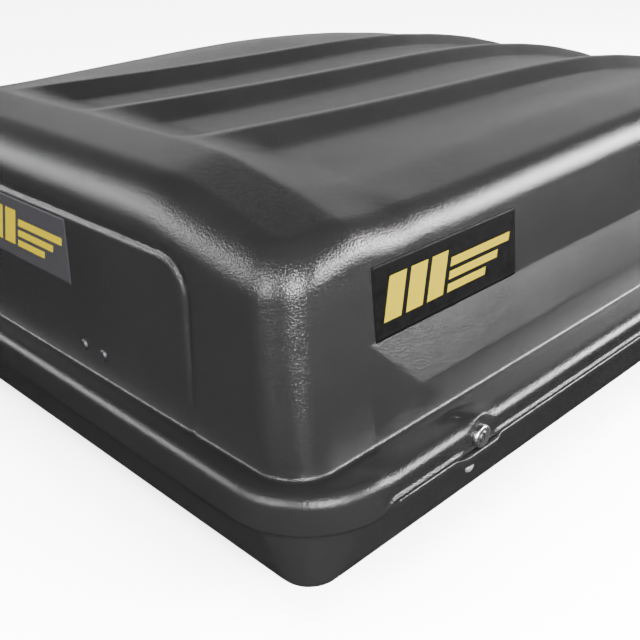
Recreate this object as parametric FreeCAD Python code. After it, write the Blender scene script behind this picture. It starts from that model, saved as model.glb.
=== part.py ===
"""Rear-opening roof cargo box: lid and base shells, front hinges, side locks and crossbar clamps.

Frame: +X towards the nose, +Y to the vehicle's left, +Z up. The origin is the centre of the base's underside.
All lengths are millimetres.
"""
import os
import FreeCAD
import Part
from math import atan2, cos, hypot, pi, radians, sin

V = FreeCAD.Vector

# ---- driving dimensions -------------------------------------------------------------------------
RIM_HALF_LENGTH = 750.0      # lid skirt, front and rear
RIM_HALF_WIDTH = 487.0       # lid skirt, left and right
SKIN = 3.5                   # thermoformed sheet
BASE_SETBACK = 20.5          # base sole edge inboard of the skirt
BASE_HALF_LENGTH = RIM_HALF_LENGTH - BASE_SETBACK
BASE_HALF_WIDTH = RIM_HALF_WIDTH - BASE_SETBACK

BASE_TOP = 68.0              # top of the base flange
BASE_LIP = 57.0              # lower edge of the base flange
BASE_DRAFT = 10.0            # how far the base wall leans out over its height
BASE_LEAN = BASE_DRAFT / (BASE_TOP - SKIN)
SOLE_FILLET = 9.0            # round the edge of the sole
BASE_CORNER_REAR = 32.0      # at the sole; the corners open out towards the flange
BASE_CORNER_FRONT = 60.0
BASE_END_SETBACK = 5.5       # base flange behind the skirt at both ends
SIDE_RIM_REACH = 640.0       # half length over which the side rims stand open
LID_FLANGE_TOP = 101.0
SKIRT_BOTTOM = 61.0
SIDE_LIP_BOTTOM = 68.4
RIM_ROLL = 12.0              # roll from the flange into the skirt
RIM_CORNER_REAR = 100.0
RIM_CORNER_FRONT = 140.0

WALL_REAR_X = -721.7         # lid wall at the flange
WALL_SIDE_Y = 446.1
REAR_DRAFT = 0.045
SIDE_DRAFT = 0.085
SHOULDER_Z = 258.0           # where the walls start to turn into the roof
SHOULDER_REAR = 95.0
SHOULDER_SIDE = 90.0
ROOF_REAR_X = -620.0
ROOF_REAR_Z = 345.6
ROOF_FRONT_X = 56.5
ROOF_FRONT_Z = 326.2
LID_CORNER_REAR = 45.0
LID_CORNER_FRONT = 125.0
# side view of the nose, from the roof down to the flange
NOSE = [(ROOF_FRONT_X, ROOF_FRONT_Z), (190.5, 314.7), (297.5, 299.7), (396.5, 278.5), (485.5, 254.0),
        (540.5, 235.0), (590.5, 212.0), (635.5, 184.0), (670.5, 155.0), (700.5, 125.0), (720.0, 90.0)]

RIB_PITCH = 189.0            # roof ribs left between four shallow channels
RIB_TOP = 14.0
CHANNEL_DEPTH = 17.5
CHANNEL_SLOPE = 22.0
CHANNEL_REAR_X = -612.0       # the channels start here at no depth
CHANNEL_RAMP_X = -545.0       # and are full depth from here on

LOCK_X = -513.5
LOCK_Z = 80.5
BOSS_RADIUS = 22.0
BOSS_INNER_Y = 474.0
BEZEL_RADIUS = 11.8
BARREL_RADIUS = 8.5
PLUG_RADIUS = 6.0
STRIKE_DROP = 14.8           # strike pin below the lock axis
STRIKE_PIN_RADIUS = 2.5
STRIKE_RIVET_Z = (33.0, 48.0)
STRIKE_RIVET_OFFSET = 6.0
HOOK_INNER = 18.5
HOOK_OUTER = 24.0
CAM_Y = 463.0
CAM_THICK = 3.0

HINGE_X = 762.0
HINGE_Z = 62.0
HINGE_Y = 300.0
HINGE_HALF_WIDTH = 30.0
KNUCKLE_RADIUS = 5.5
PIN_RADIUS = 3.0
RUNNING_GAP = 0.05
SIDE_GAP = 0.3
LEAF_THICK = 2.0
SHANK_RADIUS = 2.4
RIVET_DY = (-19.0, 19.0)      # rivets either side of a hinge's middle

BAR_X = (-330.0, 370.0)      # crossbar centrelines
CLAMP_Y = 300.0
LEG_SPREAD = 38.0            # half the distance between the legs of a U-bolt
LEG_RADIUS = 3.0
LEG_TOP = 34.0
U_BOTTOM = -52.0
U_BEND = 12.0
SADDLE_THICK = 3.0
RAIL_HEIGHT = 8.5
RAIL_HALF_WIDTH = 20.0
PLATE_THICK = 2.5
SLOT_LENGTH = 46.0
SLOT_WIDTH = 9.0

REAR_RIVET_Y = (-151.0, -114.0, 114.0, 151.0)
REAR_RIVET_Z = 129.0
REAR_PLATE_REACH = 13.0      # plate beyond its rivets, each way
REAR_PLATE_GAP = 0.1
DECAL_X = (-610.5, -397.5)
DECAL_Z = (201.0, 275.0)
DECAL_THICK = 0.4
LABEL_HALF_WIDTH = 106.5
LABEL_Z = (194.0, 268.0)

SIDES = (("right", -1.0), ("left", 1.0))


# ---- helpers ------------------------------------------------------------------------------------
def box(x0, x1, y0, y1, z0, z1):
    return Part.makeBox(x1 - x0, y1 - y0, z1 - z0, V(x0, y0, z0))


def side_box(x0, x1, y0, y1, z0, z1, side):
    """Box with y0 < y1 counted outwards from the centre plane on one side."""
    low, high = sorted((side * y0, side * y1))
    return box(x0, x1, low, high, z0, z1)


def rod_y(x, z, radius, y0, y1, side=1.0):
    low, high = sorted((side * y0, side * y1))
    return Part.makeCylinder(radius, high - low, V(x, low, z), V(0, 1, 0))


def rod_z(x, y, radius, z0, z1):
    return Part.makeCylinder(radius, z1 - z0, V(x, y, z0))


def prism_y(points, y0, y1):
    """Polygon of (x, z) points extruded between two y."""
    wire = Part.makePolygon([V(x, y0, z) for x, z in points + points[:1]])
    return Part.Face(wire).extrude(V(0, y1 - y0, 0))


def prism_x(points, x0, x1):
    """Polygon of (y, z) points extruded between two x."""
    wire = Part.makePolygon([V(x0, y, z) for y, z in points + points[:1]])
    return Part.Face(wire).extrude(V(x1 - x0, 0, 0))


def fuse(solids):
    result = solids[0]
    for solid in solids[1:]:
        result = result.fuse(solid)
    return result.removeSplitter()


def rounded_wire(x0, x1, half_y, r_rear, r_front, height):
    """Rounded rectangle whose z at each point is height(x)."""
    def point(x, y):
        return V(x, y, height(x))

    corners = [(x1, -half_y, r_front, -90.0), (x1, half_y, r_front, 0.0),
               (x0, half_y, r_rear, 90.0), (x0, -half_y, r_rear, 180.0)]
    arcs = []
    for x, y, r, start in corners:
        cx = x - r if x == x1 else x + r
        cy = y - r if y > 0 else y + r
        ring = [radians(start + step) for step in (0.0, 45.0, 90.0)]
        arcs.append([point(cx + r * cos(a), cy + r * sin(a)) for a in ring])
    edges = []
    for here, after in zip(arcs, arcs[1:] + arcs[:1]):
        edges.append(Part.Arc(*here).toShape())
        edges.append(Part.LineSegment(here[2], after[0]).toShape())
    return Part.Wire(edges)


def rounded_block(half_x, half_y, r_rear, r_front, z0, z1, top_radius=0.0):
    wire = rounded_wire(-half_x, half_x, half_y, r_rear, r_front, lambda x: z0)
    solid = Part.Face(wire).extrude(V(0, 0, z1 - z0))
    if top_radius:
        top = [e for e in solid.Edges if abs(e.BoundBox.ZMin - z1) < 1e-6]
        solid = solid.makeFillet(top_radius, top)
    return solid


def base_wall_out(z):
    """How far the base's outer wall stands outside the sole edge at height z."""
    return BASE_LEAN * z


def lid_wall_y(z):
    return WALL_SIDE_Y - SIDE_DRAFT * (z - LID_FLANGE_TOP)


def lid_wall_x(z):
    return WALL_REAR_X + REAR_DRAFT * (z - LID_FLANGE_TOP)


# ---- lid ----------------------------------------------------------------------------------------
def offset_nose(inset):
    """The nose outline moved inwards along its normal."""
    moved = []
    for i, (x, z) in enumerate(NOSE):
        xa, za = NOSE[max(i - 1, 0)]
        xb, zb = NOSE[min(i + 1, len(NOSE) - 1)]
        run = hypot(xb - xa, zb - za)
        moved.append((x + inset * (zb - za) / run, z - inset * (xb - xa) / run))
    return moved


def nose_reach(height, inset):
    """x where the plane z = height(x) meets the nose."""
    line = offset_nose(inset)
    for (xa, za), (xb, zb) in zip(line, line[1:]):
        over_a = za - height(xa)
        over_b = zb - height(xb)
        if over_a >= 0 >= over_b and over_a != over_b:
            return xa + (xb - xa) * over_a / (over_a - over_b)
    return line[0][0]


def lid_form(inset, floor):
    """Solid bounded by the lid's skin, moved in by inset, from floor up."""
    roof_rear = ROOF_REAR_Z - inset
    slope = (ROOF_FRONT_Z - ROOF_REAR_Z) / (ROOF_FRONT_X - ROOF_REAR_X)
    levels = [(z, 0.0) for z in (floor, 150.0, 205.0)]
    levels += [(SHOULDER_Z + (roof_rear - SHOULDER_Z) * sin(radians(t)), t) for t in range(0, 91, 15)]
    wires = []
    for z, turn in levels:
        tilt = slope * (z - LID_FLANGE_TOP) / (roof_rear - LID_FLANGE_TOP)
        pull = 1.0 - cos(radians(turn))
        wall_z = min(z, SHOULDER_Z)
        x0 = lid_wall_x(wall_z + tilt * (WALL_REAR_X - ROOF_REAR_X)) + inset + (SHOULDER_REAR - inset) * pull
        half_y = lid_wall_y(wall_z) - inset - (SHOULDER_SIDE - inset) * pull

        def height(x, z=z, tilt=tilt):
            return z + tilt * (x - ROOF_REAR_X)

        x1 = nose_reach(height, inset)
        wires.append(rounded_wire(x0, x1, half_y, LID_CORNER_REAR, LID_CORNER_FRONT, height))
    return Part.makeLoft(wires, True, True)


def roof_height(x):
    """Height of the roof's centre line."""
    line = [(ROOF_REAR_X, ROOF_REAR_Z)] + NOSE
    for (xa, za), (xb, zb) in zip(line, line[1:]):
        if x <= xb:
            return za + (zb - za) * (x - xa) / (xb - xa)
    return line[-1][1]


def roof_channels(grow):
    """Four shallow channels between the roof ribs, enlarged by grow for the inside of the skin."""
    half_top = (RIB_PITCH - RIB_TOP) / 2 + grow
    half_floor = half_top - CHANNEL_SLOPE
    above = 5.0
    spread = CHANNEL_SLOPE * above / CHANNEL_DEPTH
    stations = [(CHANNEL_REAR_X, 0.0), (CHANNEL_RAMP_X, CHANNEL_DEPTH), (ROOF_FRONT_X, CHANNEL_DEPTH)]
    stations += [(x, CHANNEL_DEPTH) for x, _ in NOSE[1:5]]
    stations.append((NOSE[6][0], 0.0))
    cuts = []
    for index in (-1.5, -0.5, 0.5, 1.5):
        centre = index * RIB_PITCH
        sections = []
        for x, depth in stations:
            z = roof_height(x)
            low = z - depth - grow
            outline = [(-half_top - spread, z + above), (-half_floor, low), (half_floor, low),
                       (half_top + spread, z + above)]
            points = [V(x, centre + y, height) for y, height in outline]
            sections.append(Part.makePolygon(points + points[:1]))
        cuts.append(Part.makeLoft(sections, True, True))
    return cuts


def lock_boss(side):
    """Half-round flat boss on the skirt that carries the lock."""
    arch = rod_y(LOCK_X, LOCK_Z, BOSS_RADIUS, BOSS_INNER_Y, RIM_HALF_WIDTH, side)
    keep = side_box(LOCK_X - 40, LOCK_X + 40, 460, 500, SIDE_LIP_BOTTOM, LID_FLANGE_TOP, side)
    return arch.common(keep)


def make_lid_shell():
    outside = lid_form(0.0, LID_FLANGE_TOP - SKIN).cut(roof_channels(0.0))
    rim = rounded_block(RIM_HALF_LENGTH, RIM_HALF_WIDTH, RIM_CORNER_REAR, RIM_CORNER_FRONT,
                        SKIRT_BOTTOM, LID_FLANGE_TOP, RIM_ROLL)
    rim_hollow = rounded_block(RIM_HALF_LENGTH - SKIN, RIM_HALF_WIDTH - SKIN, RIM_CORNER_REAR - SKIN,
                               RIM_CORNER_FRONT - SKIN, SKIRT_BOTTOM - 1, LID_FLANGE_TOP - SKIN,
                               RIM_ROLL - SKIN)
    shell = outside.fuse(rim).cut(rim_hollow)
    shell = shell.cut(lid_form(SKIN, LID_FLANGE_TOP - 2 * SKIN).cut(roof_channels(SKIN)))
    for _, side in SIDES:
        shell = shell.cut(side_box(-SIDE_RIM_REACH, SIDE_RIM_REACH, 470, 500, SKIRT_BOTTOM - 1,
                                   SIDE_LIP_BOTTOM, side))
        shell = shell.fuse(lock_boss(side))
        shell = shell.cut(rod_y(LOCK_X, LOCK_Z, BARREL_RADIUS, 460, 500, side))
    return drill(shell, rear_axes() + lid_hinge_axes())


# ---- base ---------------------------------------------------------------------------------------
def base_form(inset, floor):
    """Solid bounded by the base tray's skin, moved in by inset."""
    wires = []
    for z in (floor, BASE_TOP):
        grow = base_wall_out(z) - inset
        climb = z / BASE_TOP
        r_rear = BASE_CORNER_REAR + (RIM_CORNER_REAR - 14.0 - BASE_CORNER_REAR) * climb - inset
        r_front = BASE_CORNER_FRONT + (RIM_CORNER_FRONT - 14.0 - BASE_CORNER_FRONT) * climb - inset
        wires.append(rounded_wire(-BASE_HALF_LENGTH - grow, BASE_HALF_LENGTH + grow, BASE_HALF_WIDTH + grow,
                                  r_rear, r_front, lambda x, z=z: z))
    solid = Part.makeLoft(wires, True, True)
    sole = [e for e in solid.Edges if e.BoundBox.ZMax < floor + 1e-6]
    return solid.makeFillet(SOLE_FILLET - inset, sole)


def base_flange():
    half_x = RIM_HALF_LENGTH - BASE_END_SETBACK
    half_y = RIM_HALF_WIDTH - BASE_END_SETBACK
    r_rear = RIM_CORNER_REAR - BASE_END_SETBACK
    r_front = RIM_CORNER_FRONT - BASE_END_SETBACK
    plate = rounded_block(half_x, half_y, r_rear, r_front, BASE_LIP, BASE_TOP)
    hollow = rounded_block(half_x - SKIN, half_y - SKIN, r_rear - SKIN, r_front - SKIN, BASE_LIP,
                           BASE_TOP - SKIN)
    for _, side in SIDES:
        reach = SIDE_RIM_REACH - SIDE_GAP
        plate = plate.fuse(side_box(-reach, reach, half_y - 2, RIM_HALF_WIDTH, BASE_LIP, BASE_TOP, side))
        hollow = hollow.fuse(side_box(-reach + SKIN, reach - SKIN, half_y - SKIN - 2, RIM_HALF_WIDTH - SKIN,
                                      BASE_LIP, BASE_TOP - SKIN, side))
    return plate.cut(hollow)


def lock_ledge(side):
    """Thicker rounded ledge of the base flange under the lock."""
    ledge = side_box(LOCK_X - 32, LOCK_X + 33, 478, 492, BASE_LIP, BASE_TOP, side)
    upright = [e for e in ledge.Edges
               if e.BoundBox.ZLength > 5 and abs(abs(e.BoundBox.YMin) - 492) < 1e-6]
    return ledge.makeFillet(4.0, upright)


def clamp_points():
    return [(x, y) for x in BAR_X for y in (-CLAMP_Y, CLAMP_Y)]


def leg_points():
    return [(x + leg, y) for x, y in clamp_points() for leg in (-LEG_SPREAD, LEG_SPREAD)]


def leg_slot(x, y):
    straight = (SLOT_LENGTH - SLOT_WIDTH) / 2
    ends = [rod_z(x + s, y, SLOT_WIDTH / 2, -1, SKIN + 1) for s in (-straight, straight)]
    middle = box(x - straight, x + straight, y - SLOT_WIDTH / 2, y + SLOT_WIDTH / 2, -1, SKIN + 1)
    return fuse(ends + [middle])


def make_base_tray():
    tray = base_form(0.0, 0.0).fuse(base_flange())
    for _, side in SIDES:
        tray = tray.fuse(lock_ledge(side))
    tray = tray.cut(base_form(SKIN, SKIN))
    for x, y in leg_points():
        tray = tray.cut(leg_slot(x, y))
    return drill(tray, base_hinge_axes() + strike_axes(-1.0) + strike_axes(1.0))


# ---- front hinges -------------------------------------------------------------------------------
def knuckle(y0, y1):
    return rod_y(HINGE_X, HINGE_Z, KNUCKLE_RADIUS, y0, y1)


def hinge_bore(y):
    return rod_y(HINGE_X, HINGE_Z, PIN_RADIUS + RUNNING_GAP, y - HINGE_HALF_WIDTH - 1,
                 y + HINGE_HALF_WIDTH + 1)


def make_lid_leaf(y):
    inner = HINGE_HALF_WIDTH / 2 - SIDE_GAP
    plate = box(RIM_HALF_LENGTH, RIM_HALF_LENGTH + LEAF_THICK, y - HINGE_HALF_WIDTH, y + HINGE_HALF_WIDTH, 62, 88)
    web = box(RIM_HALF_LENGTH, HINGE_X, y - inner, y + inner, 62, 65)
    leaf = fuse([plate, web, knuckle(y - inner, y + inner)])
    return drill(leaf, lid_hinge_axes()).cut(hinge_bore(y))


def make_base_leaf(y):
    low, high = 12.0, 53.0
    x_low = BASE_HALF_LENGTH + base_wall_out(low)
    x_high = BASE_HALF_LENGTH + base_wall_out(high)
    thick = LEAF_THICK / cos(atan2(BASE_LEAN, 1))
    profile = [(x_low, low), (x_high, high), (HINGE_X, high), (HINGE_X, high - 3),
               (x_high + thick - 3 * BASE_LEAN, high - 3), (x_low + thick, low)]
    leaf = prism_y(profile, y - HINGE_HALF_WIDTH, y + HINGE_HALF_WIDTH)
    for y0, y1 in ((-HINGE_HALF_WIDTH, -HINGE_HALF_WIDTH / 2), (HINGE_HALF_WIDTH / 2, HINGE_HALF_WIDTH)):
        cheek = box(HINGE_X - 4, HINGE_X + 4, y + y0, y + y1, high - 3, HINGE_Z)
        leaf = leaf.fuse([cheek, knuckle(y + y0, y + y1)])
    bore = rod_y(HINGE_X, HINGE_Z, PIN_RADIUS, y - 40, y + 40)
    return drill(leaf.removeSplitter(), base_hinge_axes()).cut(bore)


def make_hinge_pin(y):
    pin = rod_y(HINGE_X, HINGE_Z, PIN_RADIUS, y - HINGE_HALF_WIDTH - 1, y + HINGE_HALF_WIDTH + 1)
    head = rod_y(HINGE_X, HINGE_Z, 4.5, y + HINGE_HALF_WIDTH, y + HINGE_HALF_WIDTH + 2)
    return fuse([pin, head])


def rivet(base, direction, grip, head_radius=6.5):
    """Large-flange blind rivet: head outside, shank through the grip, tail inside."""
    out = direction * 1.8
    head = Part.makeCone(head_radius, head_radius - 1.8, 1.8, base, direction)
    shank = Part.makeCylinder(SHANK_RADIUS, grip, base - direction * grip, direction)
    tail = Part.makeCylinder(3.6, 3.0, base - direction * (grip + 3.0), direction)
    mandrel = Part.makeCylinder(1.3, 1.0, base + out - direction * 0.4, direction)
    return fuse([head, shank, tail, mandrel])


def lid_hinge_axes():
    """Point on the outer face and outward direction of each rivet in the lid leaves."""
    return [(V(RIM_HALF_LENGTH + 2, side * HINGE_Y + dy, 78), V(1, 0, 0)) for _, side in SIDES for dy in RIVET_DY]


def base_hinge_axes():
    normal = V(1, 0, -BASE_LEAN).normalize()
    skin = V(BASE_HALF_LENGTH + base_wall_out(26.0), 0, 26.0)
    return [(skin + normal * LEAF_THICK + V(0, side * HINGE_Y + dy, 0), normal)
            for _, side in SIDES for dy in RIVET_DY]


def strike_axes(side):
    normal = V(0, side, -BASE_LEAN).normalize()
    x = LOCK_X + STRIKE_RIVET_OFFSET
    return [(V(x, side * (BASE_HALF_WIDTH + base_wall_out(z)), z), normal) for z in STRIKE_RIVET_Z]


def rear_axes():
    normal = V(-1, 0, REAR_DRAFT).normalize()
    return [(V(lid_wall_x(REAR_RIVET_Z), y, REAR_RIVET_Z), normal) for y in REAR_RIVET_Y]


def drill(solid, axes):
    """Rivet holes along the given axes."""
    for point, normal in axes:
        solid = solid.cut(Part.makeCylinder(SHANK_RADIUS, 24, point - normal * 12, normal))
    return solid


def make_hinge_rivets():
    return Part.makeCompound([rivet(p, n, SKIN + LEAF_THICK, 5.5) for p, n in lid_hinge_axes()])


def make_base_hinge_rivets():
    grip = SKIN * cos(atan2(BASE_LEAN, 1)) + LEAF_THICK
    return Part.makeCompound([rivet(p, n, grip, 5.5) for p, n in base_hinge_axes()])


# ---- side locks ---------------------------------------------------------------------------------
def make_lock_body(side):
    bezel = rod_y(LOCK_X, LOCK_Z, BEZEL_RADIUS, RIM_HALF_WIDTH, RIM_HALF_WIDTH + 4, side)
    rim = [e for e in bezel.Edges if abs(abs(e.BoundBox.YMin) - RIM_HALF_WIDTH - 4) < 1e-6
           and e.BoundBox.YLength < 1e-6]
    bezel = bezel.makeFillet(2.0, rim)
    barrel = rod_y(LOCK_X, LOCK_Z, BARREL_RADIUS, 468, RIM_HALF_WIDTH + 1, side)
    body = fuse([bezel, barrel])
    return body.cut(rod_y(LOCK_X, LOCK_Z, PLUG_RADIUS + RUNNING_GAP, 460, 500, side))


def make_lock_nut(side):
    """Ring nut that pulls the lock body against the back of the boss."""
    nut = rod_y(LOCK_X, LOCK_Z, 11.0, 470, BOSS_INNER_Y, side)
    return nut.cut(rod_y(LOCK_X, LOCK_Z, BARREL_RADIUS, 460, 480, side))


def make_lock_plug(side):
    plug = rod_y(LOCK_X, LOCK_Z, PLUG_RADIUS, CAM_Y + CAM_THICK, RIM_HALF_WIDTH + 5, side)
    tail = rod_y(LOCK_X, LOCK_Z, 4.0, CAM_Y - 1.5, CAM_Y + CAM_THICK + 1, side)
    keyway = side_box(LOCK_X - 0.8, LOCK_X + 0.8, 480, 500, LOCK_Z - 4, LOCK_Z + 4, side)
    return fuse([plug, tail]).cut(keyway)


def make_lock_cam(side):
    """Hook that swings a quarter turn under the strike pin. It is drawn unlocked."""
    hub = rod_y(LOCK_X, LOCK_Z, 8.0, CAM_Y, CAM_Y + CAM_THICK, side)
    spoke_angle, tip_angle = radians(150.0), radians(215.0)
    steps = 12
    ring = [spoke_angle + (tip_angle - spoke_angle) * i / steps for i in range(steps + 1)]
    outer = [(LOCK_X + HOOK_OUTER * cos(a), LOCK_Z + HOOK_OUTER * sin(a)) for a in ring]
    inner = [(LOCK_X + HOOK_INNER * cos(a), LOCK_Z + HOOK_INNER * sin(a)) for a in reversed(ring)]
    hook = prism_y(outer + inner, side * CAM_Y, side * (CAM_Y + CAM_THICK))
    across = V(-sin(spoke_angle), 0, cos(spoke_angle)) * 3.5
    along = V(cos(spoke_angle), 0, sin(spoke_angle))
    centre = V(LOCK_X, 0, LOCK_Z)
    corners = [centre + across, centre - across, centre - across + along * HOOK_OUTER * 0.97,
               centre + across + along * HOOK_OUTER * 0.97]
    spoke = prism_y([(c.x, c.z) for c in corners], side * CAM_Y, side * (CAM_Y + CAM_THICK))
    cam = fuse([hub, hook, spoke])
    return cam.cut(rod_y(LOCK_X, LOCK_Z, 4.0, 455, 470, side))


def make_strike(side):
    """Plate on the inside of the base wall with the pin that the cam hooks under."""
    low, high = 18.0, 67.9

    def wall(z):
        return BASE_HALF_WIDTH + base_wall_out(z) - SKIN

    profile = [(side * wall(low), low), (side * wall(high), high), (side * (wall(high) - 2), high),
               (side * (wall(low) - 2), low)]
    plate = prism_x(profile, LOCK_X - 24, LOCK_X + 24)
    pin = rod_y(LOCK_X, LOCK_Z - STRIKE_DROP, STRIKE_PIN_RADIUS, 457, wall(66.0) - 1, side)
    return drill(fuse([plate, pin]), strike_axes(side))


def make_strike_rivets():
    grip = (SKIN + 2) * cos(atan2(BASE_LEAN, 1))
    return Part.makeCompound([rivet(p, n, grip) for _, side in SIDES for p, n in strike_axes(side)])


# ---- crossbar clamps ----------------------------------------------------------------------------
def make_u_bolt(x, y):
    left, right = x - LEG_SPREAD, x + LEG_SPREAD
    low = U_BOTTOM
    turn = U_BEND * (1 - cos(pi / 4))
    path = [Part.LineSegment(V(left, y, LEG_TOP), V(left, y, low + U_BEND)),
            Part.Arc(V(left, y, low + U_BEND), V(left + turn, y, low + turn), V(left + U_BEND, y, low)),
            Part.LineSegment(V(left + U_BEND, y, low), V(right - U_BEND, y, low)),
            Part.Arc(V(right - U_BEND, y, low), V(right - turn, y, low + turn), V(right, y, low + U_BEND)),
            Part.LineSegment(V(right, y, low + U_BEND), V(right, y, LEG_TOP))]
    wire = Part.Wire([edge.toShape() for edge in path])
    ring = Part.Wire([Part.makeCircle(LEG_RADIUS, V(left, y, LEG_TOP), V(0, 0, 1))])
    return wire.makePipeShell([ring], True, True)


def clamp_plate(x, y, z0, z1):
    plate = box(x - 52, x + 52, y - 16, y + 16, z0, z1)
    for leg in (-LEG_SPREAD, LEG_SPREAD):
        plate = plate.cut(rod_z(x + leg, y, LEG_RADIUS + 0.3, z0 - 1, z1 + 1))
    return plate


def make_saddles():
    return Part.makeCompound([clamp_plate(x, y, -SADDLE_THICK, 0.0) for x, y in clamp_points()])


def make_backing_plates():
    seat = SKIN + RAIL_HEIGHT
    return Part.makeCompound([clamp_plate(x, y, seat, seat + PLATE_THICK) for x, y in clamp_points()])


def make_rail(side):
    """Hat-section stiffener on the base floor under the clamps."""
    y0, y1 = CLAMP_Y - RAIL_HALF_WIDTH, CLAMP_Y + RAIL_HALF_WIDTH
    rail = side_box(-620, 620, y0, y1, SKIN, SKIN + RAIL_HEIGHT, side)
    rail = rail.cut(side_box(-621, 621, y0 + 2, y1 - 2, SKIN - 1, SKIN + RAIL_HEIGHT - 2, side))
    feet = [side_box(-620, 620, a, a + 12, SKIN, SKIN + 2, side) for a in (y0 - 11, y1 - 1)]
    rail = fuse([rail] + feet)
    for x in BAR_X:
        for leg in (-LEG_SPREAD, LEG_SPREAD):
            rail = rail.cut(rod_z(x + leg, side * CLAMP_Y, LEG_RADIUS + 0.3, 0, 40))
    return rail


def make_knob(x, y):
    """Six-lobed hand knob with a threaded hub."""
    seat = SKIN + RAIL_HEIGHT + PLATE_THICK + SIDE_GAP
    hub = rod_z(x, y, 8.0, seat, seat + 7)
    head = rod_z(x, y, 17.0, seat + 6, seat + 19)
    for i in range(6):
        a = radians(60 * i + 30)
        head = head.cut(rod_z(x + 19.5 * cos(a), y + 19.5 * sin(a), 6.0, seat, seat + 30))
    knob = fuse([hub, head])
    return knob.cut(rod_z(x, y, LEG_RADIUS + 0.08, seat - 1, seat + 30))


# ---- rear wall hardware and graphics ------------------------------------------------------------
def make_rear_rivets():
    return Part.makeCompound([rivet(p, n, SKIN + REAR_PLATE_GAP + LEAF_THICK) for p, n in rear_axes()])


def make_rear_plates():
    """Backing plates inside the rear wall, one behind each pair of rivets."""
    plates = []
    for y0, y1 in (REAR_RIVET_Y[:2], REAR_RIVET_Y[2:]):
        low, high = REAR_RIVET_Z - REAR_PLATE_REACH, REAR_RIVET_Z + REAR_PLATE_REACH
        near, far = SKIN + REAR_PLATE_GAP, SKIN + REAR_PLATE_GAP + LEAF_THICK
        profile = [(lid_wall_x(low) + near, low), (lid_wall_x(high) + near, high),
                   (lid_wall_x(high) + far, high), (lid_wall_x(low) + far, low)]
        plates.append(drill(prism_y(profile, y0 - REAR_PLATE_REACH, y1 + REAR_PLATE_REACH), rear_axes()))
    return Part.makeCompound(plates)


def make_side_decal(side):
    z0, z1 = DECAL_Z
    profile = [(side * lid_wall_y(z0), z0), (side * lid_wall_y(z1), z1),
               (side * (lid_wall_y(z1) + DECAL_THICK), z1), (side * (lid_wall_y(z0) + DECAL_THICK), z0)]
    return prism_x(profile, *DECAL_X)


def make_rear_label():
    z0, z1 = LABEL_Z
    profile = [(lid_wall_x(z0), z0), (lid_wall_x(z1), z1), (lid_wall_x(z1) - DECAL_THICK, z1),
               (lid_wall_x(z0) - DECAL_THICK, z0)]
    return prism_y(profile, -LABEL_HALF_WIDTH, LABEL_HALF_WIDTH)


# ---- assembly -----------------------------------------------------------------------------------
def build():
    nodes = {"lid_shell": make_lid_shell(), "base_tray": make_base_tray()}
    for name, side in SIDES:
        y = side * HINGE_Y
        nodes["lid_hinge_leaf_" + name] = make_lid_leaf(y)
        nodes["base_hinge_leaf_" + name] = make_base_leaf(y)
        nodes["hinge_pin_" + name] = make_hinge_pin(y)
        nodes["lock_body_" + name] = make_lock_body(side)
        nodes["lock_nut_" + name] = make_lock_nut(side)
        nodes["lock_plug_" + name] = make_lock_plug(side)
        nodes["lock_cam_" + name] = make_lock_cam(side)
        nodes["lock_strike_" + name] = make_strike(side)
        nodes["floor_rail_" + name] = make_rail(side)
        nodes["side_decal_" + name] = make_side_decal(side)
    nodes["hinge_rivets_lid"] = make_hinge_rivets()
    nodes["hinge_rivets_base"] = make_base_hinge_rivets()
    nodes["strike_rivets"] = make_strike_rivets()
    nodes["clamp_saddles"] = make_saddles()
    nodes["clamp_backing_plates"] = make_backing_plates()
    for number, (x, y) in enumerate(clamp_points(), 1):
        nodes["u_bolt_%d" % number] = make_u_bolt(x, y)
    for number, (x, y) in enumerate(leg_points(), 1):
        nodes["clamp_knob_%d" % number] = make_knob(x, y)
    nodes["rear_rivets"] = make_rear_rivets()
    nodes["rear_backing_plates"] = make_rear_plates()
    nodes["rear_label"] = make_rear_label()
    return nodes


def main():
    os.makedirs("parts", exist_ok=True)
    for name, shape in build().items():
        if not shape.isValid():
            print("invalid shape:", name)
        shape.exportStep("parts/%s.step" % name)


main()
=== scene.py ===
"""Looks of the rear-opening roof cargo box: smooth skins, printed films, materials and studio."""

import bmesh
import bpy
import numpy as np
from mathutils import Matrix, Vector


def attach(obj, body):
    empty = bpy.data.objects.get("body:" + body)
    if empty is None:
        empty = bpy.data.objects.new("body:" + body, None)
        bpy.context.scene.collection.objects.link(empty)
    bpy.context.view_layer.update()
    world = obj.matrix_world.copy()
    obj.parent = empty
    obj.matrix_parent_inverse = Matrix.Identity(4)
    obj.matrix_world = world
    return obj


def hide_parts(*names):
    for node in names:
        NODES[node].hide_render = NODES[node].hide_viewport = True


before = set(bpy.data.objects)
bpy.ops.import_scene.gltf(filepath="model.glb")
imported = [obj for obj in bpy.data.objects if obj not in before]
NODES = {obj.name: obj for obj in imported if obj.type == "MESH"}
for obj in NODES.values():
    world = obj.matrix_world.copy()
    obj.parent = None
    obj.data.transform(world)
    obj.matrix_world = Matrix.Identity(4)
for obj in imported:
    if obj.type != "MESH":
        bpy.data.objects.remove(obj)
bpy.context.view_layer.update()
MM = 0.001

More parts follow.
